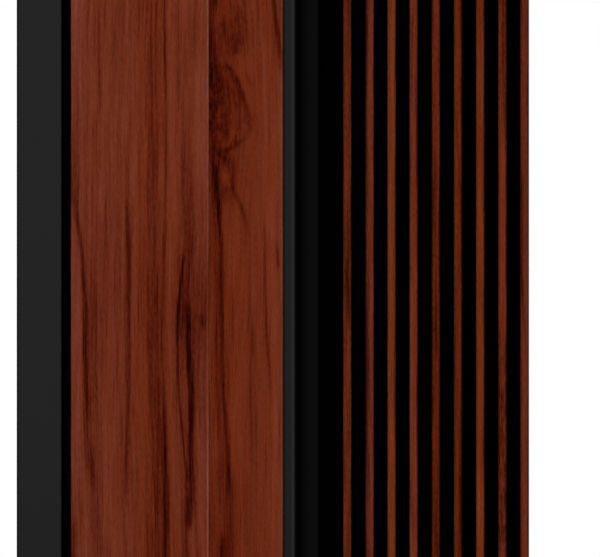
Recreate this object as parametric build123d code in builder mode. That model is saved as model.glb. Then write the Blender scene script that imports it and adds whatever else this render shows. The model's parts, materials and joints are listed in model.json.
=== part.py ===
from build123d import *
from math import radians, tan
import os

os.makedirs("parts", exist_ok=True)

# Wall panel: a metal stile, two planks, a metal trim and a field of slats on one black board.
# Millimetres. The back lies in the wall plane Y = 0, the face looks along -Y and +Z is up.
# The origin is the middle of the back face.

# Whole panel
panel_height = 1200.0
board_thickness = 9.0
fit_clearance = 0.2

# End stile, an open aluminium channel
stile_width = 52.0
stile_wall = 1.8
stile_foot_width = 22.0
stile_foot_thickness = 2.5
stile_corner_radius = 0.8

# Dark gap between the stile and the planks
shadow_gap_width = 11.5

# Planks, joined by a tongue and a groove
plank_thickness = 16.0
wide_plank_width = 161.5
narrow_plank_width = 87.5
plank_bevel = 1.0
tongue_thickness = 5.0
tongue_length = 7.0
tongue_bevel = 0.8

# Edge trim, a Z section whose lip covers the edge of the narrow plank
trim_lip_width = 14.0
trim_wall = 1.8
trim_foot_width = 19.0
trim_corner_radius = 1.0

# Cover strip over the foot of the trim, and the bare board beside it
strip_width = 26.5
strip_height = 6.0
strip_bevel = 1.0
bare_board_width = 29.5

# Slats
slat_count = 9
slat_width = 9.5
slat_pitch = 26.0
slat_depth = 16.0
slat_edge_radius = 0.8

# Countersunk screws that hold the stile from behind and the foot of the trim from the front
screw_rows = 3
screw_end_inset = 90.0
screw_clearance = 0.1
screw_tip_length = 3.0
head_angle = 90.0

stile_screw_radius = 1.95
stile_head_radius = 3.75
stile_head_recess = 0.3
stile_screw_end = 4.8

trim_screw_radius = 1.5
trim_head_radius = 2.8
trim_head_recess = 0.1
trim_screw_bite = 7.3

# Staples that hold the planks and slats from behind
staple_rows = 4
staple_end_inset = 60.0
wide_staple_spacing = 100.0
staple_crown = 5.8
staple_wire_width = 1.25
staple_wire_thickness = 1.05
staple_recess = 0.3
staple_bite = 9.3
staple_clearance = 0.1

# Places worked out from the widths, from left to right
slat_field_width = (slat_count - 1) * slat_pitch + slat_width
plank_field_width = wide_plank_width + narrow_plank_width + trim_lip_width
edge_field_width = stile_width + shadow_gap_width
panel_width = edge_field_width + plank_field_width + strip_width + bare_board_width + slat_field_width

left_x = -panel_width / 2
right_x = panel_width / 2
board_left_x = left_x + stile_wall + fit_clearance
stile_right_x = left_x + stile_width
wide_left_x = stile_right_x + shadow_gap_width
seam_x = wide_left_x + wide_plank_width
lip_left_x = seam_x + narrow_plank_width
web_right_x = lip_left_x + trim_lip_width
web_left_x = web_right_x - trim_wall
foot_right_x = web_right_x + trim_foot_width
strip_right_x = web_right_x + strip_width
first_slat_x = strip_right_x + bare_board_width + slat_width / 2
slat_centres = [first_slat_x + i * slat_pitch for i in range(slat_count)]

# Levels worked out from the thicknesses, from the wall outwards
board_front_y = -board_thickness
plank_front_y = board_front_y - plank_thickness
slat_front_y = board_front_y - slat_depth
strip_front_y = board_front_y - strip_height
foot_top_y = board_front_y - trim_wall
tongue_back_y = board_front_y - (plank_thickness - tongue_thickness) / 2
tongue_front_y = tongue_back_y - tongue_thickness

# Planes: sections stand on the lower end, fasteners start from the back or from the foot of the trim
section_plane = Plane.XY.offset(-panel_height / 2)
back_plane = Plane(origin=(0, 0, 0), x_dir=(1, 0, 0), z_dir=(0, 1, 0))
board_front_plane = back_plane.offset(-board_thickness)
foot_top_plane = Plane(origin=(0, foot_top_y, 0), x_dir=(1, 0, 0), z_dir=(0, -1, 0))

# Rows, columns and lengths of the screws
screw_row_spacing = (panel_height - 2 * screw_end_inset) / (screw_rows - 1)
stile_screw_x = stile_right_x - stile_foot_width / 2
trim_screw_x = web_right_x + trim_foot_width / 2
stile_screw_length = board_thickness - stile_head_recess + stile_foot_thickness + stile_screw_end
trim_screw_length = trim_wall - trim_head_recess + trim_screw_bite

# Rows, columns and slots of the staples
staple_row_spacing = (panel_height - 2 * staple_end_inset) / (staple_rows - 1)
wide_middle_x = (wide_left_x + seam_x) / 2
wide_columns = [wide_middle_x - wide_staple_spacing / 2, wide_middle_x + wide_staple_spacing / 2]
narrow_columns = [(seam_x + lip_left_x) / 2]
staple_leg_spacing = staple_crown - staple_wire_thickness
staple_leg_length = board_thickness - staple_recess + staple_bite
staple_slot_width = staple_wire_width + 2 * staple_clearance
crown_slot_length = staple_crown + 2 * staple_clearance
crown_slot_depth = staple_recess + staple_wire_thickness + staple_clearance
leg_slot_length = staple_wire_thickness + 2 * staple_clearance


def seat_radius(head_radius, head_recess):
    # Mouth of a countersink whose cone runs just outside a head sunk below the surface
    return head_radius + head_recess * tan(radians(head_angle / 2)) + screw_clearance


def countersunk_screw(shank_radius, head_radius, length):
    # One screw hanging from the plane of its head
    head_height = (head_radius - shank_radius) / tan(radians(head_angle / 2))
    with BuildPart() as screw:
        with BuildSketch(Plane.XZ):
            with BuildLine():
                Polyline(
                    (0, 0),
                    (head_radius, 0),
                    (shank_radius, -head_height),
                    (shank_radius, screw_tip_length - length),
                    (0, -length),
                    close=True,
                )
            make_face()
        revolve(axis=Axis.Z)
    return screw.part


def wire_staple():
    # One staple hanging from the plane of its crown, which runs along Y
    with BuildPart() as staple:
        with BuildSketch(Plane.YZ.offset(-staple_wire_width / 2)):
            Rectangle(staple_crown, staple_leg_length, align=(Align.CENTER, Align.MAX))
            with Locations((0, -staple_wire_thickness)):
                Rectangle(
                    staple_leg_spacing - staple_wire_thickness,
                    staple_leg_length - staple_wire_thickness,
                    align=(Align.CENTER, Align.MAX),
                    mode=Mode.SUBTRACT,
                )
        extrude(amount=staple_wire_width)
    return staple.part


# Back board, drilled for the screws and slotted for the staples
with BuildPart() as back_board:
    with BuildSketch(section_plane):
        with BuildLine():
            Polyline(
                (board_left_x, 0),
                (right_x, 0),
                (right_x, board_front_y),
                (board_left_x, board_front_y),
                close=True,
            )
        make_face()
    extrude(amount=panel_height)
    with Locations(back_plane):
        with Locations((stile_screw_x, 0)):
            with GridLocations(0, screw_row_spacing, 1, screw_rows):
                CounterSinkHole(
                    stile_screw_radius + screw_clearance,
                    seat_radius(stile_head_radius, stile_head_recess),
                    counter_sink_angle=head_angle,
                )
    with Locations(board_front_plane):
        with Locations((trim_screw_x, 0)):
            with GridLocations(0, screw_row_spacing, 1, screw_rows):
                Hole(trim_screw_radius + screw_clearance, trim_screw_bite + fit_clearance)
    with BuildSketch(back_plane):
        with Locations(*[(x, 0) for x in wide_columns + narrow_columns + slat_centres]):
            with GridLocations(0, staple_row_spacing, 1, staple_rows):
                Rectangle(staple_slot_width, crown_slot_length)
    extrude(amount=-crown_slot_depth, mode=Mode.SUBTRACT)
    with BuildSketch(back_plane):
        with Locations(*[(x, 0) for x in wide_columns + narrow_columns + slat_centres]):
            with GridLocations(0, staple_row_spacing, 1, staple_rows):
                with GridLocations(0, staple_leg_spacing, 1, 2):
                    Rectangle(staple_slot_width, leg_slot_length)
    extrude(amount=-board_thickness, mode=Mode.SUBTRACT)
back_board.part.label = "back_board"
export_step(back_board.part, "parts/back_board.step")

# End stile: outer leg down to the wall, face, inner leg and foot on the board
with BuildPart() as edge_stile:
    with BuildSketch(section_plane) as stile_section:
        with BuildLine():
            Polyline(
                (left_x, 0),
                (left_x, plank_front_y),
                (stile_right_x, plank_front_y),
                (stile_right_x, board_front_y),
                (stile_right_x - stile_foot_width, board_front_y),
                (stile_right_x - stile_foot_width, board_front_y - stile_foot_thickness),
                (stile_right_x - stile_wall, board_front_y - stile_foot_thickness),
                (stile_right_x - stile_wall, plank_front_y + stile_wall),
                (left_x + stile_wall, plank_front_y + stile_wall),
                (left_x + stile_wall, 0),
                close=True,
            )
        make_face()
        fillet(stile_section.vertices().group_by(Axis.Y)[0], stile_corner_radius)
    extrude(amount=panel_height)
    with Locations(board_front_plane):
        with Locations((stile_screw_x, 0)):
            with GridLocations(0, screw_row_spacing, 1, screw_rows):
                Hole(stile_screw_radius + screw_clearance, stile_foot_thickness + fit_clearance)
edge_stile.part.label = "edge_stile"
export_step(edge_stile.part, "parts/edge_stile.step")

# Wide plank with its tongue on the right edge
with BuildPart() as wide_plank:
    with BuildSketch(section_plane) as wide_section:
        with BuildLine():
            Polyline(
                (wide_left_x, board_front_y),
                (wide_left_x, plank_front_y),
                (seam_x, plank_front_y),
                (seam_x, tongue_front_y),
                (seam_x + tongue_length, tongue_front_y),
                (seam_x + tongue_length, tongue_back_y),
                (seam_x, tongue_back_y),
                (seam_x, board_front_y),
                close=True,
            )
        make_face()
        chamfer(wide_section.vertices().group_by(Axis.Y)[0], plank_bevel)
        chamfer(wide_section.vertices().group_by(Axis.X)[-1], tongue_bevel)
    extrude(amount=panel_height)
    with BuildSketch(board_front_plane):
        with Locations(*[(x, 0) for x in wide_columns]):
            with GridLocations(0, staple_row_spacing, 1, staple_rows):
                with GridLocations(0, staple_leg_spacing, 1, 2):
                    Rectangle(staple_slot_width, leg_slot_length)
    extrude(amount=-(staple_bite + staple_clearance), mode=Mode.SUBTRACT)
wide_plank.part.label = "wide_plank"
export_step(wide_plank.part, "parts/wide_plank.step")

# Narrow plank with the groove on its left edge and the rebate for the trim on its right edge
with BuildPart() as narrow_plank:
    with BuildSketch(section_plane) as narrow_section:
        with BuildLine():
            Polyline(
                (seam_x, board_front_y),
                (seam_x, tongue_back_y + fit_clearance),
                (seam_x + tongue_length + fit_clearance, tongue_back_y + fit_clearance),
                (seam_x + tongue_length + fit_clearance, tongue_front_y - fit_clearance),
                (seam_x, tongue_front_y - fit_clearance),
                (seam_x, plank_front_y),
                (lip_left_x - fit_clearance, plank_front_y),
                (lip_left_x - fit_clearance, plank_front_y + trim_wall + fit_clearance),
                (web_left_x - fit_clearance, plank_front_y + trim_wall + fit_clearance),
                (web_left_x - fit_clearance, board_front_y),
                close=True,
            )
        make_face()
        chamfer(narrow_section.vertices().group_by(Axis.Y)[0], plank_bevel)
    extrude(amount=panel_height)
    with BuildSketch(board_front_plane):
        with Locations(*[(x, 0) for x in narrow_columns]):
            with GridLocations(0, staple_row_spacing, 1, staple_rows):
                with GridLocations(0, staple_leg_spacing, 1, 2):
                    Rectangle(staple_slot_width, leg_slot_length)
    extrude(amount=-(staple_bite + staple_clearance), mode=Mode.SUBTRACT)
narrow_plank.part.label = "narrow_plank"
export_step(narrow_plank.part, "parts/narrow_plank.step")

# Edge trim: lip over the plank, web, and foot screwed to the board
with BuildPart() as edge_trim:
    with BuildSketch(section_plane) as trim_section:
        with BuildLine():
            Polyline(
                (lip_left_x, plank_front_y),
                (web_right_x, plank_front_y),
                (web_right_x, foot_top_y),
                (foot_right_x, foot_top_y),
                (foot_right_x, board_front_y),
                (web_left_x, board_front_y),
                (web_left_x, plank_front_y + trim_wall),
                (lip_left_x, plank_front_y + trim_wall),
                close=True,
            )
        make_face()
        fillet(trim_section.vertices().group_by(Axis.Y)[0].sort_by(Axis.X)[-1], trim_corner_radius)
    extrude(amount=panel_height)
    with Locations(foot_top_plane):
        with Locations((trim_screw_x, 0)):
            with GridLocations(0, screw_row_spacing, 1, screw_rows):
                CounterSinkHole(
                    trim_screw_radius + screw_clearance,
                    seat_radius(trim_head_radius, trim_head_recess),
                    counter_sink_angle=head_angle,
                )
edge_trim.part.label = "edge_trim"
export_step(edge_trim.part, "parts/edge_trim.step")

# Cover strip, rebated underneath for the foot of the trim
with BuildPart() as shadow_strip:
    with BuildSketch(section_plane) as strip_section:
        with BuildLine():
            Polyline(
                (web_right_x + fit_clearance, strip_front_y),
                (strip_right_x, strip_front_y),
                (strip_right_x, board_front_y),
                (foot_right_x + fit_clearance, board_front_y),
                (foot_right_x + fit_clearance, foot_top_y - fit_clearance),
                (web_right_x + fit_clearance, foot_top_y - fit_clearance),
                close=True,
            )
        make_face()
        chamfer(strip_section.vertices().group_by(Axis.Y)[0].sort_by(Axis.X)[-1], strip_bevel)
    extrude(amount=panel_height)
shadow_strip.part.label = "shadow_strip"
export_step(shadow_strip.part, "parts/shadow_strip.step")

# Slats, all alike, with blind slots behind for the legs of their staples
for number, centre_x in enumerate(slat_centres, start=1):
    with BuildPart() as slat:
        with BuildSketch(section_plane) as slat_section:
            with BuildLine():
                Polyline(
                    (centre_x - slat_width / 2, board_front_y),
                    (centre_x - slat_width / 2, slat_front_y),
                    (centre_x + slat_width / 2, slat_front_y),
                    (centre_x + slat_width / 2, board_front_y),
                    close=True,
                )
            make_face()
            fillet(slat_section.vertices().group_by(Axis.Y)[0], slat_edge_radius)
        extrude(amount=panel_height)
        with BuildSketch(board_front_plane):
            with Locations((centre_x, 0)):
                with GridLocations(0, staple_row_spacing, 1, staple_rows):
                    with GridLocations(0, staple_leg_spacing, 1, 2):
                        Rectangle(staple_slot_width, leg_slot_length)
        extrude(amount=-(staple_bite + staple_clearance), mode=Mode.SUBTRACT)
    slat.part.label = f"slat_{number}"
    export_step(slat.part, f"parts/slat_{number}.step")

# Screws from behind into the foot of the stile
stile_screw = countersunk_screw(stile_screw_radius, stile_head_radius, stile_screw_length)
with BuildPart() as stile_screws:
    with Locations(back_plane.offset(-stile_head_recess)):
        with Locations((stile_screw_x, 0)):
            with GridLocations(0, screw_row_spacing, 1, screw_rows):
                add(stile_screw)
stile_screws.part.label = "stile_screws"
export_step(stile_screws.part, "parts/stile_screws.step")

# Screws from the front through the foot of the trim
trim_screw = countersunk_screw(trim_screw_radius, trim_head_radius, trim_screw_length)
with BuildPart() as trim_screws:
    with Locations(foot_top_plane.offset(-trim_head_recess)):
        with Locations((trim_screw_x, 0)):
            with GridLocations(0, screw_row_spacing, 1, screw_rows):
                add(trim_screw)
trim_screws.part.label = "trim_screws"
export_step(trim_screws.part, "parts/trim_screws.step")

# Staples from behind, their crowns upright and sunk below the back face
staple_columns = {
    "wide_plank_staples": wide_columns,
    "narrow_plank_staples": narrow_columns,
    "slat_staples": slat_centres,
}
staple = wire_staple()
for name, columns in staple_columns.items():
    with BuildPart() as staples:
        with Locations(back_plane.offset(-staple_recess)):
            with Locations(*[(x, 0) for x in columns]):
                with GridLocations(0, staple_row_spacing, 1, staple_rows):
                    add(staple)
    staples.part.label = name
    export_step(staples.part, f"parts/{name}.step")
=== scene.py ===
import json
import math

import bpy
import numpy as np
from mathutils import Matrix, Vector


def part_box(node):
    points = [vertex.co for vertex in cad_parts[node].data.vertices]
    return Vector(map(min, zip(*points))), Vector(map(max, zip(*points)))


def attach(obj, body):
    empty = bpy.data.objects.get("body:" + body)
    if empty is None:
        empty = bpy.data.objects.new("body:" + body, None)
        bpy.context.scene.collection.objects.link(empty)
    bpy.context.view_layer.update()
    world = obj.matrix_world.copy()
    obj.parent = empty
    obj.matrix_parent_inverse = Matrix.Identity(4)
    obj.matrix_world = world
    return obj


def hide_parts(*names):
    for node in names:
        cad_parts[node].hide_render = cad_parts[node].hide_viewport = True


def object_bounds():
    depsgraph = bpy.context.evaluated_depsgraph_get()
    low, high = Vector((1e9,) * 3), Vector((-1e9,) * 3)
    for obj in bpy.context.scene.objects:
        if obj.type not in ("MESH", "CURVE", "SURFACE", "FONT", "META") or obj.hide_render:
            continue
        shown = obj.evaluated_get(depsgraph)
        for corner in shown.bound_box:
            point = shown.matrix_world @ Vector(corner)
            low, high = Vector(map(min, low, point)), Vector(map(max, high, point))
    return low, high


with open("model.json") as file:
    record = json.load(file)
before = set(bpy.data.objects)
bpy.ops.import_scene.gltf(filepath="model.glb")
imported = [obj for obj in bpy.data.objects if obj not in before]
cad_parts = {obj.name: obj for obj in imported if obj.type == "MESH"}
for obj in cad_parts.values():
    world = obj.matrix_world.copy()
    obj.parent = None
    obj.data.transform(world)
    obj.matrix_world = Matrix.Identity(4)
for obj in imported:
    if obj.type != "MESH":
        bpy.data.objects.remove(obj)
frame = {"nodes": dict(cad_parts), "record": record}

nodes = frame["nodes"]
cadLow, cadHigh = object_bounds()
mm = 0.001                     # pieces are worked out in millimetres, the frame is in metres
hair = 0.01                    # a point this near to a face, in millimetres, lies on it
endZ = cadHigh.z / mm          # both ends of the panel, above and below the middle
print("frame:", len(nodes), "CAD nodes, height", round(2 * endZ), "mm")


class Feed:
    # One output of a shader tree: sums and products of feeds and numbers add Math nodes
    def __init__(self, tree, socket=None):
        self.tree, self.socket = tree, socket

    def node(self, kind, settings=None, sockets=None, out=0):
        made = self.tree.nodes.new("ShaderNode" + kind)
        for key, value in (settings or {}).items():
            if key == "stops":
                placeStops(made.color_ramp, value)
            else:
                setattr(made, key, value)
        for key, value in (sockets or {}).items():
            if isinstance(value, Feed):
                self.tree.links.new(value.socket, made.inputs[key])
            else:
                made.inputs[key].default_value = value
        return Feed(self.tree, made.outputs[out] if made.outputs else None)

    def other(self, name):
        return Feed(self.tree, self.socket.node.outputs[name])

    def math(self, operation, first, second=0.0):
        return self.node("Math", {"operation": operation}, {0: first, 1: second})

    def __add__(self, value):
        return self.math("ADD", self, value)

    def __radd__(self, value):
        return self.math("ADD", value, self)

    def __sub__(self, value):
        return self.math("SUBTRACT", self, value)

    def __rsub__(self, value):
        return self.math("SUBTRACT", value, self)

    def __mul__(self, value):
        return self.math("MULTIPLY", self, value)

    def __rmul__(self, value):
        return self.math("MULTIPLY", value, self)

    def __gt__(self, value):
        return self.math("GREATER_THAN", self, value)

    def __lt__(self, value):
        return self.math("LESS_THAN", self, value)

    def __abs__(self):
        return self.math("ABSOLUTE", self)


def placeStops(ramp, stops):
    # Colours at their positions on a ramp
    while len(ramp.elements) < len(stops):
        ramp.elements.new(1.0)
    for element, (position, colour) in zip(ramp.elements, stops):
        element.position = position
        element.color = (*colour, 1.0)


def linear(red, green, blue):
    # A colour written as 0 to 255, as on a screen, to the values a shader takes
    shares = np.array([red, green, blue]) / 255
    return tuple(np.where(shares <= 0.04045, shares / 12.92, ((shares + 0.055) / 1.055) ** 2.4))


def darker(colour, share):
    # A colour times a share
    return tuple(share * part for part in colour)


def newFinish(name):
    # An empty material, the start of its tree, and the place on the piece in metres
    finish = bpy.data.materials.new(name)
    finish.use_nodes = True
    finish.node_tree.nodes.clear()
    start = Feed(finish.node_tree)
    return finish, start, start.node("TexCoord", out="Object")


def closeFinish(start, sockets, relief=None, depth=0.0, strength=1.0):
    # The one shader of a finish, with a bump of the given depth in metres where there is relief
    if relief is not None:
        bump = start.node("Bump", {}, {"Height": relief, "Distance": depth, "Strength": strength})
        sockets = {**sockets, "Normal": bump}
    shader = start.node("BsdfPrincipled", {}, sockets)
    start.node("OutputMaterial", {}, {"Surface": shader})


def mixColour(start, share, first, second, blend="MIX", clamp=True):
    # Plain colours are three numbers and get an alpha of 1
    first, second = (c if isinstance(c, Feed) else (*c, 1.0) for c in (first, second))
    settings = {"data_type": "RGBA", "blend_type": blend, "clamp_factor": clamp}
    return start.node("Mix", settings, {0: share, 6: first, 7: second}, out=2)


def noise(place, scale, detail, roughness=0.55):
    # Noise on a place stretched by a scale for each axis
    stretched = place.node("VectorMath", {"operation": "MULTIPLY"}, {0: place, 1: scale})
    return place.node("TexNoise", {}, {
        "Vector": stretched, "Scale": 1.0, "Detail": detail, "Roughness": roughness}, out="Fac")


def stretch(value, low, high, least=0.0, most=1.0):
    # Goes from least where the value is low to most where it is high, without a kink
    return value.node("MapRange", {"interpolation_type": "SMOOTHSTEP"}, {
        "Value": value, "From Min": low, "From Max": high, "To Min": least, "To Max": most})


def axisOf(place, axis):
    # One coordinate of a place
    return place.node("SeparateXYZ", {}, {0: place}, out=axis)


def sawnEnds(place):
    # 1 on the two sawn ends of the panel and 0 elsewhere
    return abs(axisOf(place, "Z")) > (endZ - hair) * mm


def smooth(value, low, high):
    # Goes from 0 at low to 1 at high without a kink
    share = np.clip((value - low) / (high - low), 0, 1)
    return share * share * (3 - 2 * share)


def between(value, low, high, outside, inside):
    # 1 from low to high, with both ends fading over the lengths outside and inside them
    return smooth(value, low - outside, low + inside) * smooth(-value, -high - outside, -high + inside)


def straight(start, end, step):
    # Points spaced evenly from start towards end, the end itself left to the next run
    start, end = np.array(start, float), np.array(end, float)
    count = max(1, math.ceil(np.linalg.norm(end - start) / step))
    return start + (end - start) * np.arange(count)[:, None] / count


def runs(step, *corners):
    # Straight runs from corner to corner
    return np.concatenate([straight(first, last, step) for first, last in zip(corners, corners[1:])])


def rounded(centre, radius, first, last, count):
    # Points on an arc about centre, from angle first towards angle last, in degrees
    angle = np.radians(first + (last - first) * np.arange(count) / count)
    return np.array(centre) + radius * np.stack([np.cos(angle), np.sin(angle)], axis=1)


def roundedFront(left, right, front, radius, arcCount, step):
    # The front of a section: a quarter arc, the straight face and another quarter arc
    return np.concatenate([
        rounded((left + radius, front + radius), radius, 180, 270, arcCount),
        straight((left + radius, front), (right - radius, front), step),
        rounded((right - radius, front + radius), radius, 270, 360, arcCount),
    ])


def bandFaces(rows, count):
    # Quads between closed rows of count points, with corners (k, i), (k, i + 1), (k + 1, i + 1), (k + 1, i)
    lift = count * np.arange(rows - 1)[:, None]
    here = np.arange(count) + lift
    there = np.roll(np.arange(count), -1) + lift
    return np.stack([here, there, there + count, here + count], axis=-1).reshape(-1, 4)


def carryUp(profile, step):
    # A section carried straight up from end to end: point (k, i) = (x of i, y of i, height of k). The section
    # runs anticlockwise seen from above, so its quads face outwards; one face closes each end.
    heights = np.linspace(-endZ, endZ, round(2 * endZ / step) + 1)
    count, rows = len(profile), len(heights)
    points = np.empty((rows, count, 3))
    points[:, :, :2] = profile
    points[:, :, 2] = heights[:, None]
    ring = np.arange(count)
    ends = [ring[::-1].tolist(), (ring + count * (rows - 1)).tolist()]
    return points.reshape(-1, 3), bandFaces(rows, count).tolist() + ends


def boxOf(name):
    # A node's lowest and highest corners in millimetres
    return [np.array(corner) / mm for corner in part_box(name)]


def newPiece(name, points, faces, finish, replaced, values=None, sharpAngle=35):
    # A mesh with its values as point attributes, riding on the panel in place of a CAD node
    mesh = bpy.data.meshes.new(name)
    mesh.from_pydata((points * mm).tolist(), [], faces)
    for key, array in (values or {}).items():
        kind, field = ("FLOAT_VECTOR", "vector") if array.ndim == 2 else ("FLOAT", "value")
        mesh.attributes.new(key, kind, "POINT").data.foreach_set(field, array.astype(np.float32).ravel())
    mesh.shade_smooth()
    mesh.set_sharp_from_angle(angle=math.radians(sharpAngle))
    mesh.materials.append(finish)
    piece = bpy.data.objects.new(name, mesh)
    bpy.context.scene.collection.objects.link(piece)
    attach(piece, "root")
    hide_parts(replaced)
    return piece


# Wood decor on the planks and slats. Shade 0 is the darkest vein, 0.5 the plain wood, 1 the palest fibre.
# A noise is its repeats per millimetre across, between pieces and along the grain, its detail and roughness.
woodLook = {
    "shades": [
        (0.0, linear(35, 1, 0)), (0.25, linear(77, 20, 6)), (0.5, linear(109, 44, 24)),
        (0.70, linear(124, 57, 37)), (0.92, linear(142, 82, 64))],
    "plainShade": 0.55,
    "fine": ((0.46, 1.0, 0.020), 3.0), "fineShare": 0.30,
    "middle": ((0.15, 1.0, 0.004), 2.0), "middleShare": 0.42,
    "broad": ((0.030, 1.0, 0.0016), 1.0), "broadShare": 0.28,
    "pores": ((0.80, 1.0, 0.160), 2.0, 0.6), "poreShare": 0.36,
    "lines": ((0.36, 1.0, 0.0085), 2.0, 0.6), "lineRange": (0.52, 0.72), "lineShare": 0.14,
    "ragged": ((0.80, 1.0, 0.022), 2.0, 0.6), "raggedRange": (0.32, 0.64, 0.66, 1.14), "streakShare": 0.44,
    "mottle": ((520.0, 520.0, 240.0), 2.0, 0.6),                # repeats per metre
    "mottleEdges": (0.34, 0.66), "mottleRange": (0.68, 1.18), "mottleShare": 0.50,
    "brownTint": (0.95, 1.02, 0.52), "rosyTint": (0.98, 1.16, 1.50), "warmTint": (1.02, 0.84, 0.50),
    "drift": ((0.11, 1.0, 0.012), 2.0), "driftShare": 0.7,      # from rosy to warm
    "core": linear(120, 88, 62), "coreDark": 0.55,              # bare fibreboard at the sawn ends
    "chips": ((900.0, 900.0, 900.0), 3.0), "sawnRough": 0.3,
    "roughness": 0.46, "roughFibre": 0.16, "specular": 0.02,
    "reliefDepth": 0.00012, "reliefStrength": 0.4, "lineRelief": 0.3, "streakRelief": 0.4,
}


def woodFinish(name, look):
    # Fibres are noise stretched along the grain. Veins, knots, tones and casts come from the piece's own
    # attributes; the tones hold painted shade and painted highlights along edges and seams. The sawn ends
    # show bare board.
    finish, start, place = newFinish(name)
    read = {key: start.node("Attribute", {"attribute_name": key}, out="Fac")
            for key in ("streak", "knot", "tone", "brown", "cast")}
    grain = start.node("Attribute", {"attribute_name": "grain"}, out="Vector")
    fine, middle, broad, pores, drift = (
        noise(grain, *look[key]) - 0.5 for key in ("fine", "middle", "broad", "pores", "drift"))
    lines = stretch(noise(grain, *look["lines"]), *look["lineRange"])
    ragged = stretch(noise(grain, *look["ragged"]), *look["raggedRange"])
    mottle = stretch(noise(place, *look["mottle"]), *look["mottleEdges"], *look["mottleRange"])
    fibres = fine * look["fineShare"] + pores * look["poreShare"] - lines * look["lineShare"]
    shade = look["plainShade"] + read["tone"] + fibres
    shade = shade + middle * look["middleShare"] + broad * look["broadShare"]
    shade = shade - read["streak"] * ragged * look["streakShare"]
    shade = shade - read["knot"] * mottle * look["mottleShare"]
    colour = start.node("ValToRGB", {"stops": look["shades"]}, {"Fac": shade})
    colour = mixColour(start, read["brown"], colour, look["brownTint"], "MULTIPLY")
    warmth = 0.5 + read["cast"] + drift * look["driftShare"]
    tint = mixColour(start, warmth, look["rosyTint"], look["warmTint"], clamp=False)
    colour = mixColour(start, 1.0, colour, tint, "MULTIPLY")
    chips = noise(place, *look["chips"])
    core = mixColour(start, chips, darker(look["core"], look["coreDark"]), look["core"])
    sawn = sawnEnds(place)
    relief = fine + pores - lines * look["lineRelief"] - read["streak"] * look["streakRelief"]
    closeFinish(start, {
        "Base Color": mixColour(start, sawn, colour, core),
        "Roughness": look["roughness"] + look["roughFibre"] * fine + sawn * look["sawnRough"],
        "Specular IOR Level": look["specular"],
    }, relief, look["reliefDepth"], look["reliefStrength"])
    return finish


def shifted(shades, green, blue):
    # The same shades with less green and blue
    return [(place, (red, green * g, blue * b)) for place, (red, g, b) in shades]


slatShades = [
    (0.0, linear(30, 5, 1)), (0.25, linear(77, 25, 10)), (0.5, linear(108, 43, 24)),
    (0.75, linear(124, 56, 37)), (1.0, linear(142, 82, 64))]
wideWood = woodFinish("wideWood", woodLook)
narrowWood = woodFinish("narrowWood", {
    **woodLook, "shades": shifted(woodLook["shades"], 0.90, 0.76), "driftShare": 1.3,
    "mottle": ((210.0, 210.0, 110.0), 2.0, 0.6), "mottleRange": (0.66, 1.24)})
slatWood = woodFinish("slatWood", {
    **woodLook, "shades": slatShades, "fine": ((0.6, 1.0, 0.016), 3.0), "poreShare": 0.55,
    "middle": ((0.24, 1.0, 0.012), 2.0), "middleShare": 0.50,
    "mottle": ((220.0, 220.0, 50.0), 2.0, 0.6), "mottleRange": (0.45, 1.35)})
print("wood finishes made")

# How every streak is drawn: readings averaged over its reach, its waves (size, length), its core and its halo
streakShape = {
    "readings": 5, "waves": ((0.22, 17.0), (0.12, 6.3)),
    "coreShare": 0.76, "corePower": 3, "haloShare": 0.24, "haloWidth": 3.4,
}


def readAlong(z, heights, values, reach):
    # Values given at heights, read at z and averaged over a short reach above and below
    shifts = reach * np.linspace(-1, 1, streakShape["readings"])
    return sum(np.interp(z + shift, heights, values) for shift in shifts) / len(shifts)


def streakMap(x, z, streaks, shape=streakShape):
    # Each streak runs through its places (x, z, darkness), read as x and darkness over z, with two small
    # waves. Across it the darkness is a bell of its width with a soft halo; past its ends it dies away within
    # its fade.
    dark = np.zeros_like(x)
    for width, fade, reach, route in streaks:
        places, heights, depths = np.array(sorted(route, key=lambda spot: spot[1]), float).T
        middle = readAlong(z, heights, places, reach)
        for (size, length), phase in zip(shape["waves"], (places[0], heights[0])):
            middle = middle + size * np.sin(z / length + phase)
        side = np.abs(x - middle) / width
        core = shape["coreShare"] * np.exp(-(side ** shape["corePower"]))
        halo = shape["haloShare"] * np.exp(-((side / shape["haloWidth"]) ** 2))
        ends = between(z, heights[0], heights[-1], fade, fade)
        dark += readAlong(z, heights, depths, reach) * ends * (core + halo)
    return dark


def knotMap(x, z, knot):
    # The knot is a bell of darkness about its heart, wide and high as given. Round it stands an eye: inside
    # the rim, whose x and darkness are read over z, the wood is darker, most at the rim itself. The grain
    # goes round the knot: its lines are squeezed towards the line through the heart, most at the heart.
    across, along = (x - knot["x"]) / knot["halfWidth"], (z - knot["z"]) / knot["halfHeight"]
    distance = np.hypot(across, along)
    places, heights, depths = np.array(knot["rim"], float)[::-1].T
    inside = readAlong(z, heights, places, knot["rimReach"]) - x
    rimDark = np.interp(z, heights, depths) * between(z, heights[0], heights[-1], *knot["rimFade"])
    atRim = np.exp(-((np.maximum(inside, 0) / knot["rimWidth"]) ** 2))
    eye = smooth(inside, *knot["eyeEdge"]) * (knot["eyeShare"] + (1 - knot["eyeShare"]) * atRim)
    squeeze = knot["squeeze"] * np.exp(-((distance / knot["squeezeReach"]) ** 2))
    return knot["dark"] * np.exp(-(distance**2)) + rimDark * eye, -(x - knot["x"]) * squeeze


# How the grain of every piece runs: waves (size, length, share of the seed), its lean with depth and with x
grainRun = {
    "waves": ((1.6, 150, 1.0), (0.7, 61, 2.3), (0.3, 23, 1.1)), "depthLean": 0.35, "rise": 0.6, "apart": 7.3,
}


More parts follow.
